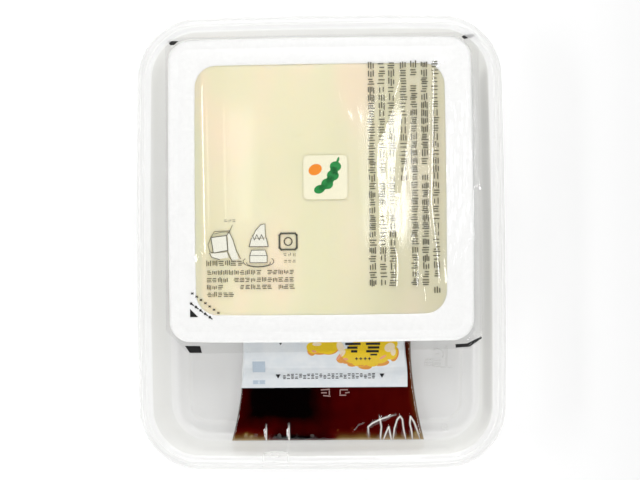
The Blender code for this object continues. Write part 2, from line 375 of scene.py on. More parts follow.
# Air bubbles near the front seal: (x, y, radius) in millimetres
BUBBLES = [(-27.9, -66.4, 0.75), (-26.0, -66.9, 0.55), (31.6, -66.4, 1.0), (4.4, -65.2, 0.4), (9.4, -64.6, 0.4)]

# How deep the colour is along the front: (y, depth), at the sides and in the middle
FRONT_DEPTH = [(-68.6, 0.0), (-67.5, 0.13), (-66.5, 0.24), (-65.4, 0.4), (-64.0, 0.6), (-61.0, 0.76), (-58.0, 1.0)]
MIDDLE_DEPTH = [(-68.6, 0.3), (-68.2, 0.9), (-67.2, 0.95), (-66.5, 0.68), (-64.0, 0.64), (-61.0, 0.78), (-58.0, 1.0)]


def between(stops, value):
    """Value read off a list of stops."""
    for (low, start), (high, end) in zip(stops, stops[1:]):
        if value < high:
            return start + (end - start) * max(0.0, (value - low) / (high - low))
    return stops[-1][1]


sauce = slab("sauce_liquid", 110, 150, sauce_liquid_place)
depth = sauce.data.attributes.new("depth", "FLOAT", "POINT")
for index, vertex in enumerate(sauce.data.vertices):
    x, y, z = vertex.co / MM
    half = sauce_half(y)
    wander = y + 0.8 * noise.noise((x / 5, 0, 2))
    deep = 1 - 0.5 * ease(x + 1.5 * noise.noise((0, y / 4, 2)), -14, 8) - 0.04 * ease(x, 8, 24)
    middle = ease(x, -22, -16) * (1 - ease(x, -1, 5))
    deep = min(deep, (1 - middle) * between(FRONT_DEPTH, wander) + middle * between(MIDDLE_DEPTH, wander))
    deep = min(deep, 0.58 + 0.28 * ease(x - SAUCE_X + half, 0, 6.5) + 0.3 * ease(x - SAUCE_X + half, 5, 9))
    deep *= 0.42 + 0.58 * ease(SAUCE_X + half - 0.2 - x, 0, 3.2)
    swirl = noise.noise((x / 12, y / 7, 3.1)) * 0.07 + noise.noise((x / 2.2, y / 5, 1)) * 0.04
    deep += swirl * ease(deep, 0.0, 0.4)
    for bubble_x, bubble_y, radius in BUBBLES:
        deep *= 1 - math.exp(-((x - bubble_x) ** 2 + (y - bubble_y) ** 2) / radius ** 2)
    depth.data[index].value = max(0.0, deep)
smooth(sauce, 60)

# Dark soy sauce: amber where it is thin, red-brown to nearly black where it is deep. It wets the film, so it
# has no gloss of its own.
soy_sauce, tree = new_material("dark_soy_sauce")
deep = node(tree, "Attribute", attribute_name="depth")
colour = node(tree, "ValToRGB", {"Fac": deep.outputs["Fac"]},
              [(0.0, "#a58a58"), (0.12, "#7a5a2c"), (0.24, "#5c2810"), (0.36, "#560c05"), (0.5, "#490202"),
               (0.62, "#380101"), (0.85, "#040101")])
body = node(tree, "BsdfPrincipled", {"Base Color": colour.outputs["Color"], "Roughness": 0.6,
                                     "Specular IOR Level": 0.0})
node(tree, "OutputMaterial", {"Surface": body})
sauce.data.materials.append(soy_sauce)
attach(sauce, "root")


# --- Sauce pouch, film -------------------------------------------------------
# The pouch itself: two layers of clear laminate, heat-sealed along their edges. It is crumpled at its
# front right, where the seal has pulled it into pleats.
POUCH_CREASES = [
    # (height, half width, points along the crease)
    (0.20, 0.75, ((15.1, -67.6), (15.0, -64.0), (16.4, -62.8), (19.1, -61.5), (21.5, -60.7), (24.8, -59.8))),
    (0.12, 0.50, ((9.6, -65.4), (11.2, -63.0), (14.6, -61.8))),
    (0.19, 0.72, ((18.9, -60.0), (19.6, -64.0), (19.3, -67.0), (19.2, -69.6))),
    (0.18, 0.62, ((19.6, -70.4), (21.3, -65.9), (22.2, -64.0), (22.6, -66.2), (23.4, -70.6))),
    (0.20, 0.76, ((23.3, -71.0), (24.2, -64.5), (25.2, -61.5), (26.2, -60.4), (27.0, -61.5), (27.3, -64.5),
                  (28.6, -71.0))),
    (0.20, 0.74, ((30.7, -71.0), (30.2, -65.9), (29.6, -63.0), (29.8, -60.5), (31.0, -62.3), (31.9, -64.7),
                  (33.6, -70.0))),
    (0.28, 0.72, ((-20.8, -63.0), (-20.8, -65.0), (-20.8, -70.6))),
    (0.28, 0.72, ((-12.8, -62.6), (-12.8, -65.0), (-12.8, -70.6))),
    (0.10, 0.60, ((-16.2, -61.0), (-16.2, -64.5), (-16.3, -67.6))),
    (0.09, 0.60, ((-24.4, -62.0), (-24.4, -65.5), (-24.4, -67.6))),
    (0.08, 0.60, ((-4.8, -63.0), (-4.6, -65.5), (-4.6, -67.6))),
    (0.16, 0.50, ((-28.1, -66.4), (-27.7, -66.4))),
    (0.14, 0.45, ((-26.2, -66.9), (-25.8, -66.9))),
    (0.16, 0.70, ((31.4, -66.8), (32.0, -66.6))),
]


def crease_height(creases, x, y):
    """Height that a list of creases adds at a point: a round ridge along each, dying out at its ends."""
    total = 0.0
    for height, half, points in creases:
        best, along, length = 1e9, 0.0, 0.0
        for (x0, y0), (x1, y1) in zip(points, points[1:]):
            dx, dy = x1 - x0, y1 - y0
            reach = math.hypot(dx, dy)
            t = max(0.0, min(1.0, ((x - x0) * dx + (y - y0) * dy) / (reach * reach)))
            away = math.hypot(x - x0 - dx * t, y - y0 - dy * t)
            if away < best:
                best, along = away, length + t * reach
            length += reach
        if best < 3 * half:
            fade = min(1.0, along / (0.3 * length), (length - along) / (0.3 * length))
            total += height * math.exp(-(best / half) ** 2) * (0.25 + 0.75 * ease(fade, 0, 1))
    return total


def pouch_place(u, v, side):
    """Rows are close together at the front, where the pouch shows, and far apart under the tub."""
    t = (v + 1) / 2
    t = 0.36 * t + 0.64 * t ** 3
    y = SAUCE_FRONT + SAUCE_LENGTH * t
    x = SAUCE_X + sauce_half(y) * u
    rise = sauce_fill(y) * across(u)
    z = sauce_under(y) + side * (0.42 + rise)
    if side and y < -30:
        crumple = 0.02 * noise.noise((x / 1.6, y / 3.0, 7)) * (1 - ease(y, SAUCE_FRONT + 2, SAUCE_FRONT + 9))
        z += (crease_height(POUCH_CREASES, x, y) + crumple) * (1 - ease(abs(u), 0.97, 1.0) * 0.6)
    return x, y, z


pouch = slab("sauce_pouch_film", 260, 150, pouch_place)
# Painted highlight: the film is painted white along its sharp folds, where the real film shows glints of light
PAINTED_GLINT_FOLDS = [(1.0, 0.24, points) for height, half, points in POUCH_CREASES if height > 0.17]
fold = pouch.data.attributes.new("fold", "FLOAT", "POINT")
for index, vertex in enumerate(pouch.data.vertices):
    x, y, z = vertex.co / MM
    top = y < -58 and z > sauce_under(y) + 1
    fold.data[index].value = min(1.0, crease_height(PAINTED_GLINT_FOLDS, x, y)) if top else 0.0
smooth(pouch, 60)

# Clear laminate film: its two faces are taken as one, so the index is higher than the plastic's own 1.5
clear_laminate, tree = new_material("clear_laminate_film")
view = node(tree, "Math", {0: node(tree, "Fresnel", {"IOR": 1.9}), 1: 0.12}, operation="MINIMUM")
facing = node(tree, "NewGeometry")
front = node(tree, "Math", {0: 1.0, 1: facing.outputs["Backfacing"]}, operation="SUBTRACT")
shine = node(tree, "Math", {0: view, 1: front}, operation="MULTIPLY")
gloss = node(tree, "BsdfGlossy", {"Color": linear("#ffffff"), "Roughness": 0.06})
clear = node(tree, "BsdfTransparent", {"Color": linear("#f4f4f1")})
# Painted highlight: a white diffuse film, mixed in by the fold attribute, stands for the glints along the folds
white = node(tree, "BsdfDiffuse", {"Color": linear("#fffaf6")})
folds = node(tree, "Attribute", attribute_name="fold")
sheet = node(tree, "MixShader", {"Fac": folds.outputs["Fac"], 1: clear, 2: white})
mixed = node(tree, "MixShader", {"Fac": shine, 1: sheet, 2: gloss})
node(tree, "OutputMaterial", {"Surface": mixed})
pouch.data.materials.append(clear_laminate)
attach(pouch, "root")
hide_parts("sauce_sachet")


# --- Ginger sachet -----------------------------------------------------------
# The upper sachet holds grated ginger in a white laminate with a bluish cast. Its end is a ribbed heat seal.
GINGER_X = -0.3
GINGER_HALF_END = 29.2
GINGER_HALF_WAIST = 28.4
GINGER_FRONT = -50.1
GINGER_LENGTH = 72.0
GINGER_FULL = 2.4
GINGER_SQUEEZED = 1.15


def sauce_top(x, y):
    """Upper side of the sauce pouch, which the ginger sachet lies on."""
    u = max(-1.0, min(1.0, (x - SAUCE_X) / sauce_half(y)))
    return sauce_under(y) + 0.42 + sauce_fill(y) * across(u)


def ginger_place(u, v, side):
    t = (v + 1) / 2
    y = GINGER_FRONT + GINGER_LENGTH * (0.6 * t + 0.4 * t ** 2)
    inward = ease(y, GINGER_FRONT + 4, GINGER_FRONT + 16)
    x = GINGER_X + u * (GINGER_HALF_END + (GINGER_HALF_WAIST - GINGER_HALF_END) * inward)
    filled = ease(y, GINGER_FRONT + 5.5, GINGER_FRONT + 13)
    filled *= 1 - ease(y, GINGER_FRONT + GINGER_LENGTH - 11, GINGER_FRONT + GINGER_LENGTH - 5)
    bulge = GINGER_FULL + (GINGER_SQUEEZED - GINGER_FULL) * ease(y, *SQUEEZE)
    z = sauce_top(x, y) + 0.28 + side * (0.3 + filled * bulge * across(u))
    if side:
        seal = (1 - ease(y, GINGER_FRONT + 7.5, GINGER_FRONT + 8.5)) * ease(y, GINGER_FRONT + 1.2, GINGER_FRONT + 2)
        z += 0.05 * seal * math.sin((y - GINGER_FRONT) * 2 * math.pi / 1.45)
        z += 0.05 * noise.noise((x / 5, y / 3, 2)) * filled
    return x, y, z


ginger = slab("ginger_sachet", 110, 150, ginger_place)
smooth(ginger, 60)

# White laminate: opaque film with a satin finish and a cold, bluish white
white_laminate, tree = new_material("white_laminate_film")
place = node(tree, "TexCoord")
grain = node(tree, "TexNoise", {"Vector": place.outputs["Object"], "Scale": 260.0, "Detail": 2.0})
tint = node(tree, "ValToRGB", {"Fac": grain}, [(0.35, "#e2e8ed"), (0.65, "#eaeef1")])
crinkle = node(tree, "Bump", {"Height": grain, "Strength": 0.15, "Distance": 0.2 * MM})
body = node(tree, "BsdfPrincipled", {"Base Color": tint.outputs["Color"], "Roughness": 0.28, "Normal": crinkle})
node(tree, "OutputMaterial", {"Surface": body})
ginger.data.materials.append(white_laminate)
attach(ginger, "root")
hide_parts("ginger_sachet")


# --- Ginger sachet, print ----------------------------------------------------
# Flexo print on the sachet: a ginger root in yellow with orange shading, a pale blue field down the left,
# and plain marks where the real one has its lettering.
INK = 0.02 * MM


def ink_piece(name, bars=(), discs=(), triangles=(), above=12.0):
    """Flat ink shapes in millimetres: bars (x, y, length, width, degrees), discs (x, y, half length, half width,
    degrees) and triangles (x, y, side, degrees). Each is a copy of one stamp."""
    stamps = []
    bpy.ops.object.select_all(action="DESELECT")
    bpy.ops.mesh.primitive_grid_add(x_subdivisions=4, y_subdivisions=1, size=1)
    stamps.append(bpy.context.object)
    bpy.ops.mesh.primitive_circle_add(vertices=28, radius=1, fill_type="NGON")
    disc = bpy.context.object
    bpy.ops.object.mode_set(mode="EDIT")
    bpy.ops.mesh.select_all(action="SELECT")
    for _ in range(3):
        bpy.ops.mesh.inset(thickness=0.25)
    bpy.ops.object.mode_set(mode="OBJECT")
    stamps.append(disc)
    bpy.ops.mesh.primitive_circle_add(vertices=3, radius=0.577, fill_type="NGON")
    stamps.append(bpy.context.object)
    shapes = [(0, x, y, along, wide, turn) for x, y, along, wide, turn in bars]
    shapes += [(1, x, y, along, wide, turn) for x, y, along, wide, turn in discs]
    shapes += [(2, x, y, side, side, turn) for x, y, side, turn in triangles]
    parts = []
    for kind, x, y, along, wide, turn in shapes:
        mesh = stamps[kind].data.copy()
        mesh.transform(Matrix.Translation((x * MM, y * MM, above * MM))
                       @ Matrix.Rotation(math.radians(turn), 4, "Z")
                       @ Matrix.Diagonal((along * MM, wide * MM, 1, 1)))
        part = bpy.data.objects.new("ink", mesh)
        bpy.context.scene.collection.objects.link(part)
        parts.append(part)
    for stamp in stamps:
        bpy.data.objects.remove(stamp)
    return joined(name, parts)


def print_onto(ink, surface, gap):
    """Lay flat ink on a surface below it, `gap` above its film, and give it its thickness."""
    apply_modifier(ink, "SHRINKWRAP", target=surface, wrap_method="PROJECT", use_project_z=True,
                   use_negative_direction=True, use_positive_direction=False)
    for vertex in ink.data.vertices:
        vertex.co.z += gap
    apply_modifier(ink, "SOLIDIFY", thickness=INK, offset=-1)


def ink_material(name, code, roughness=0.4):
    """Flat printing ink that is a little uneven, by 0.4 mm patches."""
    material, tree = new_material(name)
    place = node(tree, "TexCoord")
    patch = node(tree, "TexNoise", {"Vector": place.outputs["Object"], "Scale": 2500.0, "Detail": 1.0})
    uneven = node(tree, "HueSaturation", {"Color": linear(code), "Saturation": 1.0,
                                          "Value": node(tree, "MapRange", {"Value": patch, 3: 0.9, 4: 1.1})})
    body = node(tree, "BsdfPrincipled", {"Base Color": uneven, "Roughness": roughness})
    node(tree, "OutputMaterial", {"Surface": body})
    return material


GINGER_PRINT = [
    ("ginger_print_orange", "#e2983a", 0.10,
     {"discs": [(-4.6, -37.6, 1.5, 1.2, -40), (-2.0, -37.2, 3.2, 1.4, -4), (2.0, -36.9, 3.0, 1.7, 10),
                (5.6, -40.4, 1.5, 1.2, -20), (7.6, -40.9, 1.6, 1.0, 0), (10.0, -41.6, 2.2, 1.3, 10),
                (14.0, -42.6, 2.6, 1.3, -6), (19.6, -41.6, 3.0, 1.2, 4), (24.4, -38.6, 1.5, 2.6, -14)]}),
    ("ginger_print_yellow", "#edc91f", 0.13,
     {"discs": [(-4.0, -36.2, 2.3, 1.9, -24), (-0.6, -35.7, 3.0, 2.4, 4), (3.0, -35.2, 2.3, 2.3, 20),
                (1.6, -37.0, 2.6, 1.4, 8), (9.0, -39.2, 3.4, 2.2, -34), (12.4, -40.4, 3.3, 2.5, 4),
                (16.2, -40.9, 2.8, 2.0, -18), (19.6, -39.4, 3.2, 2.4, 14), (22.6, -37.4, 2.9, 3.2, 30),
                (12.4, -36.9, 4.4, 3.0, 0), (18.4, -36.1, 5.4, 3.0, 0), (23.4, -34.9, 2.2, 1.8, 0)]}),
    ("ginger_print_pale", "#f0dfc0", 0.16,
     {"discs": [(5.6, -35.9, 1.2, 1.9, 20), (6.4, -38.0, 0.8, 1.3, -30), (22.8, -36.2, 1.9, 1.5, 30),
                (24.0, -37.8, 0.9, 1.3, 0), (-2.6, -34.9, 1.6, 0.6, 0)]}),
    ("ginger_print_pink", "#e9a07c", 0.16,
     {"discs": [(5.2, -39.2, 0.5, 1.7, -38), (7.4, -40.2, 0.9, 0.4, -12), (20.4, -39.6, 1.4, 0.4, 30),
                (-3.6, -37.4, 0.9, 0.4, -14)]}),
    ("ginger_print_blue", "#d0dbe6", 0.10,
     {"bars": [(-23.1, -37.0, 4.4, 6.0, 0), (-23.1, -42.7, 4.4, 3.8, 0), (-23.1, -48.1, 4.4, 1.4, 0)]}),
    ("ginger_print_deep_blue", "#bccad8", 0.13,
     {"bars": [(-23.1, -42.7, 4.4, 3.8, 0), (-24.3, -48.1, 1.8, 1.3, 0), (-22.0, -48.1, 1.8, 1.3, 0)]}),
    ("ginger_print_black", "#1c1c22", 0.19,
     {"bars": [(10.0, -34.9, 5.4, 0.85, 0), (9.8, -36.2, 3.6, 0.85, 0), (10.4, -37.5, 2.2, 0.85, 0),
               (17.0, -34.9, 5.0, 0.85, 0), (17.2, -36.2, 4.0, 0.85, 0), (16.8, -37.5, 4.4, 0.85, 0),
               (17.2, -38.7, 2.4, 0.6, 0)]
      + [(11.2 + 1.5 * step, -40.1, 1.0, 0.32, turn) for step in range(4) for turn in (0, 90)]
      + [(-14.2 + 1.42 * step, -45.4 - 0.5 * row, 1.05 - 0.25 * ((step + row) % 2), 0.26, 0)
         for step in range(23) for row in range(4) if (step * 3 + row) % 5],
      "triangles": [(-16.4, -45.9, 1.7, 180), (20.0, -45.9, 1.7, 180), (-15.3, -34.6, 1.0, 180)]}),
]
for name, code, gap, shapes in GINGER_PRINT:
    ink = ink_piece(name, **shapes)
    print_onto(ink, ginger, gap * MM * 0.4)
    ink.data.materials.append(ink_material(name.replace("print", "ink"), code))
    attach(ink, "root")


# --- Sauce pouch, print ------------------------------------------------------
# Two small groups of plain bars in pale ink on the pouch, where the real one has its lettering.
SAUCE_BARS = [(0.1, -50.9, 3.2, 0.4, 4), (-0.4, -52.0, 2.0, 0.4, 0), (0.6, -53.1, 2.6, 0.4, -6), (1.5, -52.0, 0.4, 1.6, 0),
              (6.6, -51.0, 2.8, 0.4, 0), (7.8, -52.0, 1.6, 0.4, 8), (6.2, -52.9, 2.4, 0.4, 0), (5.3, -51.9, 0.4, 1.4, 0)]
sauce_ink = ink_piece("sauce_print", bars=SAUCE_BARS)
print_onto(sauce_ink, pouch, 0.04 * MM)
sauce_ink.data.materials.append(ink_material("pale_ink", "#a58580"))
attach(sauce_ink, "root")


# --- Tub ---------------------------------------------------------------------
# The tub is deep-drawn from white polypropylene sheet, with a satin surface. Its flat flange, which the lid
# film is sealed to, is turned down at its edge.
tub_low, tub_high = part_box("tub")
TUB_Y = (tub_low.y + tub_high.y) / 2
TUB_HALF = 51.35 * MM
TUB_CORNER = 7.0 * MM
TUB_BOW = 0.4 * MM
MOUTH_HALF = 42.9 * MM
MOUTH_CORNER = 8.0 * MM
TUB_SHEET = 0.5 * MM
FLANGE = tub_high.z / MM
BASE = tub_low.z / MM
FLANGE_PROFILE = [(0, FLANGE - 2.0), (0.06, FLANGE - 1.2), (0.2, FLANGE - 0.6), (0.5, FLANGE - 0.2),
                  (0.95, FLANGE - 0.03), (1.5, FLANGE), (3.1, FLANGE), (3.35, FLANGE - 0.05),
                  (3.75, FLANGE - 0.05), (4.0, FLANGE)]
WELL_PROFILE = [(0, FLANGE), (0.3, FLANGE - 0.05), (0.6, FLANGE - 0.25), (0.8, FLANGE - 0.6), (0.9, FLANGE - 1.2),
                (1.9, BASE + 22), (2.9, BASE + 13), (4.0, BASE + 4.2), (4.2, BASE + 2.8), (4.7, BASE + 1.7),
                (5.5, BASE + 1.0), (6.4, BASE + 0.65), (7.0, BASE + 0.6)]
WELL_PANEL = [(0.87, 0), (0.985, 0.3), (0.985, 0.4), (0.985, 0.1)]

flange = stepped_sheet("tub_shell", TUB_HALF, TUB_HALF, TUB_CORNER, TUB_BOW, TUB_Y, FLANGE_PROFILE)
well = stepped_sheet("tub_well", MOUTH_HALF, MOUTH_HALF, MOUTH_CORNER, TUB_BOW, TUB_Y, WELL_PROFILE, WELL_PANEL)
only(flange)
bpy.ops.object.mode_set(mode="EDIT")
bpy.ops.mesh.delete(type="ONLY_FACE")
bpy.ops.object.mode_set(mode="OBJECT")
tub = joined("tub_shell", [flange, well])
bpy.ops.object.mode_set(mode="EDIT")
bpy.ops.mesh.select_all(action="DESELECT")
bpy.ops.object.mode_set(mode="OBJECT")
used = {}
for polygon in tub.data.polygons:
    for key in polygon.edge_keys:
        used[key] = used.get(key, 0) + 1
for edge in tub.data.edges:
    ends = [tub.data.vertices[index].co for index in edge.vertices]
    inside = all(max(abs(end.x), abs(end.y - TUB_Y)) < TUB_HALF - 3 * MM for end in ends)
    edge.select = inside and used.get(edge.key, 0) < 2
bpy.ops.object.mode_set(mode="EDIT")
bpy.ops.mesh.select_mode(type="EDGE")
bpy.ops.mesh.bridge_edge_loops()
bpy.ops.mesh.select_mode(type="VERT")
bpy.ops.mesh.select_all(action="SELECT")
bpy.ops.mesh.normals_make_consistent(inside=False)
bpy.ops.object.mode_set(mode="OBJECT")
if max(tub.data.polygons, key=lambda p: p.area).normal.z < 0:
    bpy.ops.object.mode_set(mode="EDIT")
    bpy.ops.mesh.select_all(action="SELECT")
    bpy.ops.mesh.flip_normals()
    bpy.ops.object.mode_set(mode="OBJECT")
apply_modifier(tub, "SOLIDIFY", thickness=TUB_SHEET, offset=-1, use_even_offset=True)
smooth(tub)

# White polypropylene: satin, with the very fine tooth that a sheet keeps from its chill roll
white_pp, tree = new_material("white_polypropylene")
place = node(tree, "TexCoord")
tooth = node(tree, "TexNoise", {"Vector": place.outputs["Object"], "Scale": 900.0, "Detail": 3.0})
satin = node(tree, "Bump", {"Height": tooth, "Strength": 0.1, "Distance": 0.1 * MM})
tint = node(tree, "ValToRGB", {"Fac": tooth}, [(0.3, "#f1f1f0"), (0.7, "#f7f7f6")])
body = node(tree, "BsdfPrincipled", {"Base Color": tint.outputs["Color"], "Roughness": 0.34, "IOR": 1.49,
                                     "Subsurface Weight": 0.25, "Subsurface Radius": (1.0, 1.0, 1.0),
                                     "Subsurface Scale": 1.0 * MM, "Normal": satin})
node(tree, "OutputMaterial", {"Surface": body})
tub.data.materials.append(white_pp)
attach(tub, "root")
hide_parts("tub")


# --- Tofu --------------------------------------------------------------------
# One block of silken tofu, set in the tub itself, so it fills the tub's shape up to the flange. It reaches just
# into the wall, so that no gap shows, and its top has a few pinholes.
TOFU_TOP = FLANGE - 0.15
TOFU_FOOT = BASE + 1.75
TOFU_HALF = 42.6
TOFU_HALF_FOOT = 38.6

bpy.ops.object.select_all(action="DESELECT")
bpy.ops.mesh.primitive_cube_add(size=2)
tofu = bpy.context.object
tofu.name = tofu.data.name = "tofu_block"
for vertex in tofu.data.vertices:
    top = vertex.co.z > 0
    half = TOFU_HALF if top else TOFU_HALF_FOOT
    vertex.co = (vertex.co.x * half * MM, TUB_Y + vertex.co.y * half * MM, (TOFU_TOP if top else TOFU_FOOT) * MM)


def bevel_edges(piece, width, segments, wanted):
    """Round the edges whose two ends pass a test."""
    only(piece)
    bpy.ops.object.mode_set(mode="EDIT")
    bpy.ops.mesh.select_mode(type="EDGE")
    bpy.ops.mesh.select_all(action="DESELECT")
    bpy.ops.object.mode_set(mode="OBJECT")
    for edge in piece.data.edges:
        edge.select = wanted(*(piece.data.vertices[index].co for index in edge.vertices))
    bpy.ops.object.mode_set(mode="EDIT")
    bpy.ops.mesh.bevel(offset=width, segments=segments, affect="EDGES")
    bpy.ops.mesh.select_mode(type="VERT")
    bpy.ops.object.mode_set(mode="OBJECT")


bevel_edges(tofu, 6.8 * MM, 8, lambda a, b: abs(a.z - b.z) > 10 * MM)
bevel_edges(tofu, 0.5 * MM, 3, lambda a, b: min(a.z, b.z) > (TOFU_TOP - 0.1) * MM)
bevel_edges(tofu, 4.0 * MM, 4, lambda a, b: max(a.z, b.z) < (TOFU_FOOT + 0.1) * MM)
apply_modifier(tofu, "REMESH", mode="VOXEL", voxel_size=0.9 * MM)
apply_modifier(tofu, "SMOOTH", factor=0.5, iterations=3)
# Pinholes: (x, y, radius) in millimetres
PINHOLES = [(5.2, 39.2, 0.7), (-7.5, 34.9, 0.8), (1.2, -22.4, 0.7), (-22.0, 12.0, 0.5), (14.0, 5.0, 0.5)]
for vertex in tofu.data.vertices:
    x, y, z = vertex.co / MM
    if z > TOFU_TOP - 0.5:
        sag = 0.08 * noise.noise((x / 16, y / 22, 5)) + 0.03 * noise.noise((x / 4, y / 5, 9))
        for hole_x, hole_y, radius in PINHOLES:
            sag -= 0.25 * math.exp(-((x - hole_x) ** 2 + (y - hole_y) ** 2) / radius ** 2)
        vertex.co.z += sag * MM
smooth(tofu, 80)

# Bean curd: dense, moist and pale cream, and light goes a few millimetres in. Its colour drifts between a greener and
# a pinker cream over 25 mm, with a fine curd grain; the pinker patches are partly painted reflection, standing for
# the warm sheen that the slack film mirrors onto the block.
bean_curd, tree = new_material("silken_bean_curd")
place = node(tree, "TexCoord")
stretch = node(tree, "Mapping", {"Vector": place.outputs["Object"], "Scale": (1.6, 0.6, 1.0)})
drift = node(tree, "TexNoise", {"Vector": stretch, "Scale": 38.0, "Detail": 1.5, "Roughness": 0.4})
cream = node(tree, "ValToRGB", {"Fac": drift}, [(0.32, "#e8e4c2"), (0.5, "#ede6c6"), (0.68, "#f5e5c9")])
grain = node(tree, "TexNoise", {"Vector": place.outputs["Object"], "Scale": 700.0, "Detail": 3.0})
curd = node(tree, "Bump", {"Height": grain, "Strength": 0.25, "Distance": 0.12 * MM})
along = node(tree, "SeparateXYZ", {"Vector": place.outputs["Object"]})
span = node(tree, "MapRange", {"Value": along, "From Min": -43 * MM, "From Max": 43 * MM})
# Painted shade: a ramp across the block darkens the cream in a thin band along its left edge, where the gap to the
# tub's wall lies in shade, and more and more towards its right side
painted_shade_ramp = node(tree, "ValToRGB", {"Fac": span},
            [(0.0, "#eef2f3"), (0.030, "#eef2f3"), (0.042, "#fbf9f9"), (0.16, "#ffffff"), (0.5, "#ffffff"),
             (0.67, "#f7f7f8"), (0.8, "#efeef1"), (0.99, "#e8e7ec")])
shaded_cream = node(tree, "VectorMath", {0: cream.outputs["Color"], 1: painted_shade_ramp.outputs["Color"]}, operation="MULTIPLY")
body = node(tree, "BsdfPrincipled", {"Base Color": shaded_cream.outputs["Vector"], "Roughness": 0.38, "IOR": 1.37,
                                     "Subsurface Weight": 0.5, "Subsurface Radius": (1.0, 0.85, 0.55),
                                     "Subsurface Scale": 2.0 * MM, "Normal": curd})
node(tree, "OutputMaterial", {"Surface": body})
tofu.data.materials.append(bean_curd)
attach(tofu, "root")
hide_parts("tofu")


# --- Lid film ----------------------------------------------------------------
# A clear film, heat-sealed to the flange all round and cut square with clipped front corners. It is slack
# over the tofu, so it stands in long upright wrinkles that catch the light.
FILM_SHEET = 0.06 * MM
FILM_BASE = FLANGE + 0.2
FILM_COLUMNS, FILM_ROWS = 340, 118
# Corners before clipping, in millimetres: front left, front right, back right, back left
FILM_CORNERS = ((-52.2, -37.2), (53.9, -36.1), (53.5, 69.9), (-51.8, 69.3))
FILM_CREASES = [
    # (height, half width, points along the crease), from the left
    (0.40, 1.30, ((-41.4, -2.6), (-41.2, -7.6))),
    (0.06, 0.80, ((6.2, 54.5), (8.0, 47.6), (10.4, 41.0))),
    (0.05, 0.60, ((9.2, 58.0), (12.0, 48.0), (13.6, 41.0))),
    (0.30, 0.55, ((28.2, 60.0), (26.6, 54.0), (24.6, 48.0), (22.0, 42.0), (19.0, 34.0))),
    (0.22, 0.55, ((20.4, 46.0), (18.4, 36.0), (17.8, 26.0), (18.4, 12.0), (18.8, 0.0))),
    (0.22, 0.55, ((31.0, 60.6), (32.0, 56.0), (30.8, 50.0), (29.6, 44.0), (27.6, 32.0), (25.8, 17.0))),
    (0.30, 0.65, ((24.2, 2.0), (25.2, -8.0), (24.8, -15.0), (25.6, -20.0))),
    (0.30, 0.65, ((31.6, 0.0), (32.0, -8.0), (31.6, -15.0), (31.2, -19.0))),
    (0.22, 0.50, ((33.6, -12.0), (34.4, -19.0), (34.9, -23.5))),
    (0.18, 0.80, ((20.0, -2.0), (19.6, -10.0), (20.6, -18.0))),
]
# Folds that catch the light on one side only: height, widths of the steep and the gentle side, and (y, x)
# along the fold
FILM_STEPS = [(0.23, 1.3, 7.0, [(-14.0, -38.1), (58.0, -38.9)]),
              (0.43, 1.7, 4.0, [(-22.0, 40.9), (-6.0, 39.9), (3.0, 39.0), (13.0, 38.0), (30.0, 38.6), (64.0, 39.4)])]
GLARE_MIDDLE = (23.6, 21.5)
GLARE_REACH = (6.2, 27.0)


def film_height(x, y):
    """Upper side of the lid film in millimetres: creases over the tofu, a finely crushed seal over the flange,
    and an edge that hangs past the flange and curls at its corners."""
    local_y = y - TUB_Y / MM
    out = max(abs(x), abs(local_y))
    slack = 1 - ease(out, 40.6, 43.2)
    z = FILM_BASE
    if slack > 0:
        z += 0.02 * noise.noise((x / 9, y / 40, 1)) + 0.004 * noise.noise((x / 3, y / 16, 4))
        away = math.hypot((x - GLARE_MIDDLE[0]) / GLARE_REACH[0], (y - GLARE_MIDDLE[1]) / GLARE_REACH[1])
        crushed = 1 - ease(away, 0.55, 1.15)
        z += crushed * (0.015 * noise.noise((x / 1.5, y / 7.0, 6)) + 0.005 * noise.noise((x / 0.8, y / 2.5, 8)))
    creases = crease_height(FILM_CREASES, x, y)
    for height, rise, back, line in FILM_STEPS:
        fold = between(line, y)
        ends = ease(y, line[0][0], line[0][0] + 9) * (1 - ease(y, line[-1][0] - 6, line[-1][0]))
        creases += height * ends * ease(x, fold - rise, fold) * (1 - ease(x, fold, fold + back))
    z += creases * (0.15 + 0.85 * slack)
    sealed = (1 - slack) * (1 - ease(out, 50.0, 51.2))
    if sealed > 0:
        right = ease(x, 36, 42) * 0.85 + 0.15
        z += sealed * right * (0.06 * noise.noise((x / 0.9, y / 5.0, 11)) + 0.03 * noise.noise((x / 0.7, y / 1.4, 2)))
    corner = Vector((max(0.0, abs(x) - 44.35), max(0.0, abs(local_y) - 44.35)))
    past = max(out - 51.35, corner.length - 7.0, 0.0)
    if past > 0:
        back = local_y > 0
        z += (0.03 if back else -0.03) * past + 0.015 * noise.noise((x / 6, y / 6, 3)) * min(1, past)
        if x > 0 and not back:
            z += 0.18 * past * ease(x, 44, 53)
    return min(z, RIM - 0.12)


bpy.ops.object.select_all(action="DESELECT")
bpy.ops.mesh.primitive_grid_add(x_subdivisions=FILM_COLUMNS, y_subdivisions=FILM_ROWS, size=2)
film = bpy.context.object
film.name = film.data.name = "lid_film_sheet"
front_left, front_right, back_right, back_left = (Vector(corner) for corner in FILM_CORNERS)
for vertex in film.data.vertices:
    u, v = (vertex.co.x + 1) / 2, (vertex.co.y + 1) / 2
    x, y = front_left.lerp(front_right, u).lerp(back_left.lerp(back_right, u), v)
    vertex.co = (x * MM, y * MM, film_height(x, y) * MM)
bpy.ops.object.mode_set(mode="EDIT")
# Clip the corners: (a point on the cut, the direction that is cut off)
for x, y, away_x, away_y in ((-46.6, -35.0, -0.72, -0.69), (52.1, -34.0, 0.62, -0.78),
                             (53.3, 69.6, 0.55, 0.83)):
    bpy.ops.mesh.select_all(action="SELECT")
    bpy.ops.mesh.bisect(plane_co=(x * MM, y * MM, 0), plane_no=(away_x, away_y, 0), clear_outer=True)
bpy.ops.object.mode_set(mode="OBJECT")


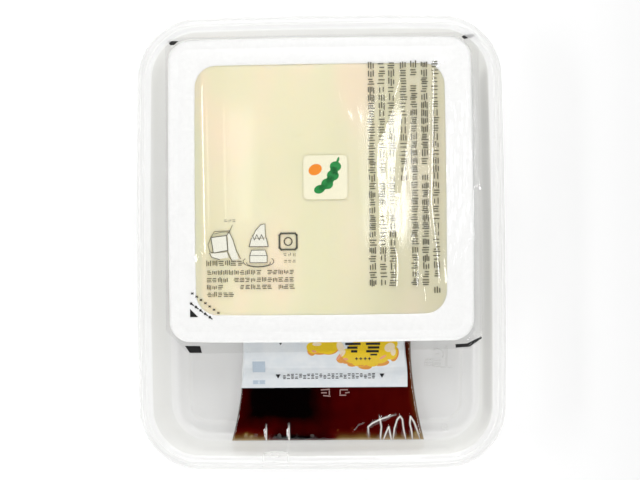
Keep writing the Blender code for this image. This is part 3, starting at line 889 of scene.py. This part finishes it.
# --- Lid film, print ---------------------------------------------------------
# Print on the underside of the film. Plain bars stand in the columns and lines where the real one has its
# lettering, and a soybean pod on a white patch where it has its mark.
random.seed(20)
GLYPH = 2.4
PITCH = 2.7
COLUMNS = [(17.4, 60.1, -16.3, 3), (20.9, 60.1, -15.6, 2), (24.2, 60.1, -16.0, 2), (28.1, 60.2, 18.8, 2),
           (31.6, 60.4, -16.3, 3), (35.2, 60.2, -16.3, 3), (38.8, 60.4, -16.9, 2)]


def greek(x, y, size, strokes):
    """A plain mark that stands for one sign: two to four short bars side by side, level or upright."""
    upright = random.random() < 0.4
    marks = []
    for stroke in range(strokes):
        offset = (stroke - (strokes - 1) / 2) * size / strokes
        length = size * random.uniform(0.6, 1.0)
        shift = random.uniform(-0.12, 0.12) * size
        place = (x + offset, y + shift) if upright else (x + shift, y + offset)
        marks.append((*place, length, size * 0.15, 90 if upright else 0))
    return marks


dark = []
for x, top, bottom, strokes in COLUMNS:
    y = top - GLYPH / 2
    while y > bottom:
        if random.random() > 0.03:
            dark += greek(x, y, GLYPH, strokes + random.choice((0, 1)))
        y -= PITCH
lines = [(-38.3, -8.3, -10.0), (-38.3, -8.3, -12.5), (-38.3, -8.3, -14.9), (-38.3, -28.5, -17.4)]
for left, right, y in lines:
    x = left + 0.75
    while x < right:
        if random.random() > 0.08:
            dark += greek(x, y, 1.65, 3)
        x += 1.85
x = -37.6
while x < -25.5:
    dark += greek(x, -6.9, 1.9, 3)
    x += 2.1
for x in (-11.9, -10.4, -8.9):
    dark += greek(x, -4.2, 1.1, 2) + greek(x, -6.4, 1.1, 2)
for x in (-31.8, -30.4, -29.0):
    dark += greek(x, 7.4, 1.1, 2)


def line_drawing(points, width, closed=False):
    """Bars along a run of points."""
    if closed:
        points = points + points[:1]
    bars = []
    for (x0, y0), (x1, y1) in zip(points, points[1:]):
        length = math.hypot(x1 - x0, y1 - y0)
        bars.append(((x0 + x1) / 2, (y0 + y1) / 2, length + width, width,
                     math.degrees(math.atan2(y1 - y0, x1 - x0))))
    return bars


def oval(x, y, half_x, half_y, start=0, end=360):
    """Points of an oval, or of a part of one."""
    return [(x + half_x * math.cos(math.radians(a)), y + half_y * math.sin(math.radians(a)))
            for a in range(start, end + 1, 20)]


thin = []
# A tub tipped in a hand
thin += line_drawing([(-36.8, 1.8), (-31.6, 2.4), (-31.2, -2.6), (-36.0, -3.4)], 0.24, True)
thin += line_drawing([(-36.8, 1.8), (-37.8, -0.6), (-37.2, -3.0), (-36.0, -3.4)], 0.2)
thin += line_drawing([(-36.8, 1.8), (-35.6, 3.8), (-30.4, 4.0), (-31.6, 2.4)], 0.2)
thin += line_drawing([(-35.6, 3.0), (-33.0, 3.6), (-30.6, 3.6), (-29.6, 5.8)], 0.18)
thin += line_drawing([(-30.6, 3.4), (-29.4, 1.0), (-28.4, -2.4), (-26.9, -5.4)], 0.2)
thin += line_drawing([(-31.4, -3.0), (-30.6, -4.8), (-29.8, -6.0)], 0.2)
thin += line_drawing([(-37.4, -3.4), (-36.6, -4.8), (-34.0, -5.6)], 0.2)
# The tub turned over a plate, and the block that comes out of it
thin += line_drawing([(-22.8, 1.8), (-21.8, 4.0), (-20.0, 5.9), (-18.6, 6.2)], 0.18)
thin += line_drawing([(-18.4, 1.8), (-18.6, 4.4), (-18.6, 6.2)], 0.18)
thin += line_drawing([(-22.9, 2.4), (-22.2, 0.8), (-21.4, 2.6), (-20.6, 0.8), (-19.8, 2.6), (-19.0, 0.8)], 0.2)
thin += line_drawing([(-23.2, 1.4), (-24.0, -1.4), (-17.6, -1.4), (-18.2, 1.4)], 0.22)
thin += line_drawing([(-23.2, -2.6), (-18.6, -2.6), (-18.0, -4.4), (-18.0, -6.8), (-23.8, -6.8), (-23.8, -4.4)],
                     0.2, True)
thin += line_drawing([(-23.8, -4.4), (-18.0, -4.4)], 0.18)
thin += line_drawing(oval(-20.9, -6.4, 5.2, 1.9, 150, 390), 0.2)
thin += line_drawing(oval(-20.9, -6.9, 4.0, 1.2, 170, 370), 0.18)
# A plain round-cornered frame
frame_points = [(-13.2, 2.9), (-8.6, 2.9), (-8.0, 2.3), (-8.0, -1.9), (-8.6, -2.5), (-13.2, -2.5), (-13.8, -1.9),
                (-13.8, 2.3)]
thin += line_drawing(frame_points, 0.62, True)
thin += line_drawing(oval(-10.9, 0.2, 1.3, 1.3), 0.36)

# The opening corner: a solid arrow head, with bars for its lettering
corner_ink = []
for step in range(5):
    corner_ink += [(-43.6 + 1.55 * step, -20.3 - 1.15 * step, 0.9, 0.42, -37 + turn) for turn in (0, 90)]
    corner_ink += [(-43.1 + 1.55 * step, -20.7 - 1.15 * step, 1.0, 0.32, -37)]
for step in range(7):
    corner_ink += [(-43.2 + 1.45 * step, -16.9 - 1.1 * step, 1.0, 0.26, -37 + turn) for turn in (0, 70)]

PATCH = (1.8, 21.6)


def flat_polygon(name, points, above=60.0):
    """A flat shape from its corners: a circle with as many points, moved there."""
    bpy.ops.object.select_all(action="DESELECT")
    bpy.ops.mesh.primitive_circle_add(vertices=len(points), radius=1, fill_type="NGON")
    shape = bpy.context.object
    shape.name = shape.data.name = name
    for vertex, (x, y) in zip(shape.data.vertices, points):
        vertex.co = (x * MM, y * MM, above * MM)
    shape.data.update()
    if shape.data.polygons[0].normal.z < 0:
        shape.data.flip_normals()
    bpy.ops.object.mode_set(mode="EDIT")
    bpy.ops.mesh.select_all(action="SELECT")
    bpy.ops.mesh.quads_convert_to_tris()
    bpy.ops.mesh.subdivide(number_cuts=2)
    bpy.ops.object.mode_set(mode="OBJECT")
    return shape


REGISTER_MARKS = [
    [(-51.0, 68.3), (-47.3, 68.1), (-48.8, 66.8), (-50.1, 66.8)],
    [(47.9, 68.2), (48.9, 68.9), (51.4, 69.0), (53.3, 69.1), (51.5, 68.0), (48.8, 67.4)],
    [(-45.8, -34.4), (-40.7, -34.5), (-40.1, -36.8), (-44.2, -36.8)],
    [(44.6, -34.6), (48.5, -34.4), (53.2, -32.1), (53.4, -32.7), (49.3, -35.5), (44.7, -35.8)],
    [(-44.0, -22.1), (-44.0, -24.8), (-41.3, -24.8)],
]
marks = joined("film_print_black", [flat_polygon("mark", points) for points in REGISTER_MARKS]
               + [ink_piece("corner", bars=corner_ink, above=60.0)])
# The faces of the drawings are printed pale
FACES = [
    [(-36.8, 1.8), (-36.0, -3.4), (-31.2, -2.6), (-31.6, 2.4)],
    [(-31.2, 2.6), (-31.0, -2.8), (-29.8, -5.8), (-27.4, -5.6), (-28.6, -2.4), (-29.6, 1.0), (-30.6, 3.3)],
    [(-37.0, -3.6), (-36.4, -4.8), (-34.0, -5.5), (-31.0, -5.0), (-31.4, -3.2)],
    [(-22.8, 2.2), (-21.8, 4.0), (-20.0, 5.8), (-18.7, 6.0), (-18.7, 4.4), (-18.6, 1.6), (-23.1, 1.4)],
    [(-23.1, 1.3), (-23.9, -1.3), (-17.7, -1.3), (-18.3, 1.3)],
    [(-23.2, -2.6), (-23.8, -4.4), (-23.8, -6.8), (-18.0, -6.8), (-18.0, -4.4), (-18.6, -2.6)],
]
faces = joined("film_print_pale", [flat_polygon("face", points) for points in FACES])
columns = ink_piece("film_print_grey", bars=dark, above=60.0)
drawings = ink_piece("film_print_lines", bars=thin, above=60.0)
patch_half = 7.4
patch = flat_polygon("film_print_white", [(PATCH[0] + x / MM, PATCH[1] + y / MM) for x, y in outline(
    patch_half * MM, patch_half * MM, 1.6 * MM, 0)][::2])
pod = ink_piece("film_print_green", discs=[
    (PATCH[0] + 3.4, PATCH[1] + 3.6, 1.9, 1.7, 0), (PATCH[0] + 2.5, PATCH[1] + 0.6, 2.0, 1.8, 0),
    (PATCH[0] + 0.6, PATCH[1] - 2.2, 2.0, 1.8, 0), (PATCH[0] - 2.0, PATCH[1] - 4.0, 1.9, 1.4, 20),
    (PATCH[0] + 2.9, PATCH[1] + 2.1, 1.3, 1.5, 15), (PATCH[0] + 1.6, PATCH[1] - 0.8, 1.5, 1.3, 50),
    (PATCH[0] - 0.7, PATCH[1] - 3.2, 1.5, 1.1, 30), (PATCH[0] + 4.2, PATCH[1] + 5.6, 0.4, 1.2, -20)], above=60.0)
beans = ink_piece("film_print_orange", discs=[(PATCH[0] - 3.4, PATCH[1] + 2.6, 2.3, 1.8, 25)], above=60.0)
for ink, gap in ((marks, 0.08), (columns, 0.08), (drawings, 0.08), (faces, 0.11), (patch, 0.12), (pod, 0.09), (beans, 0.09)):
    print_onto(ink, film, -gap * MM)
INKS = [(marks, "black_ink", "#101010"), (columns, "grey_ink", "#5c5a48"), (drawings, "line_ink", "#5a594d"),
        (faces, "pale_ink", "#eceadb"), (patch, "white_ink", "#f1ecd0"), (pod, "green_ink", "#128a3c"), (beans, "orange_ink", "#f08c1a")]
for ink, name, code in INKS:
    ink.data.materials.clear()
    ink.data.materials.append(ink_material(name, code))
    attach(ink, "root")

apply_modifier(film, "SOLIDIFY", thickness=FILM_SHEET, offset=-1)
smooth(film, 60)

# Clear lid film: thin nylon laminate with a hard gloss. As with the pouch, both faces shine as one.
lid_laminate, tree = new_material("clear_lid_film")
view = node(tree, "Math", {0: node(tree, "Fresnel", {"IOR": 1.7}), 1: 0.09}, operation="MINIMUM")
facing = node(tree, "NewGeometry")
front = node(tree, "Math", {0: 1.0, 1: facing.outputs["Backfacing"]}, operation="SUBTRACT")
shine = node(tree, "Math", {0: view, 1: front}, operation="MULTIPLY")
gloss = node(tree, "BsdfGlossy", {"Color": linear("#ffffff"), "Roughness": 0.08})
clear = node(tree, "BsdfTransparent", {"Color": linear("#fefefe")})
mixed = node(tree, "MixShader", {"Fac": shine, 1: clear, 2: gloss})
node(tree, "OutputMaterial", {"Surface": mixed})
film.data.materials.append(lid_laminate)
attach(film, "root")
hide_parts("lid_film")


# --- Studio ------------------------------------------------------------------
# A white table under a white sky that is dark straight overhead, so that flat film stays clear, and a narrow soft
# lamp at each side, steep enough for the wrinkles of the film to catch it. The table also glows by itself, which is
# painted light, and its glow is weaker towards the right, which is painted shade.
bpy.ops.object.select_all(action="DESELECT")
bpy.ops.mesh.primitive_plane_add(size=4)
table = bpy.context.object
table.name = table.data.name = "table"
glowing_white_table, tree = new_material("glowing_white_table")
place = node(tree, "TexCoord")
across_table = node(tree, "SeparateXYZ", {"Vector": place.outputs["Object"]})
# Painted light: the table's own glow, 0.38 up to 5 cm right of the middle, falling to 0.22 by 11 cm as painted shade
# on the right
painted_glow = node(tree, "MapRange", {"Value": across_table, "From Min": 0.05, "From Max": 0.11, "To Min": 0.38,
                              "To Max": 0.22})
body = node(tree, "BsdfPrincipled", {"Base Color": linear("#cccccc"), "Roughness": 0.7,
                                     "Emission Color": linear("#ffffff"), "Emission Strength": painted_glow})
node(tree, "OutputMaterial", {"Surface": body})
table.data.materials.append(glowing_white_table)

world = bpy.data.worlds.new("white_sky")
bpy.context.scene.world = world
world.use_nodes = True
tree = world.node_tree
tree.nodes.clear()
place = node(tree, "TexCoord")
height = node(tree, "SeparateXYZ", {"Vector": place.outputs["Generated"]})
sky = node(tree, "ValToRGB", {"Fac": height.outputs["Z"]}, [(0.69, "#ffffff"), (0.79, "#080808")])
glow = node(tree, "Background", {"Color": sky.outputs["Color"], "Strength": 0.97})
node(tree, "OutputWorld", {"Surface": glow})

# Each lamp: name, place, turn about X and about Y in degrees, size across and along, power. The top lamp and
# the card stand where the flat film mirrors them: one breaks up in the crushed film, one is a pale wedge on it.
LAMPS = [("left_lamp", (-0.42, -0.04, 0.62), 0, -35, 0.08, 0.42, 1.02),
         ("right_lamp", (0.40, -0.04, 0.62), 0, 34, 0.08, 0.42, 0.9),
         ("back_lamp", (0.0, 0.70, 0.24), -73, 0, 0.50, 0.10, 2.4),
         ("over_lamp", (0.02, 0.235, 0.64), -21, 0, 0.30, 0.05, 0.62),
         ("front_lamp", (0.05, -0.60, 0.32), 64, 0, 0.60, 0.12, 1.6),
         ("top_lamp", (0.0265, 0.064, 0.64), 0, 0, 0.021, 0.086, 0.056),
         ("card", (-0.0726, 0.071, 0.64), 0, 0, 0.016, 0.078, 0.0062)]
for name, spot, turn_x, turn_y, wide, deep_size, power in LAMPS:
    bpy.ops.object.light_add(type="AREA", location=spot, rotation=(math.radians(turn_x), math.radians(turn_y), 0))
    lamp = bpy.context.object
    lamp.name = name
    lamp.visible_camera = False
    lamp.data.shape = "RECTANGLE"
    lamp.data.size, lamp.data.size_y = wide, deep_size
    lamp.data.energy = power
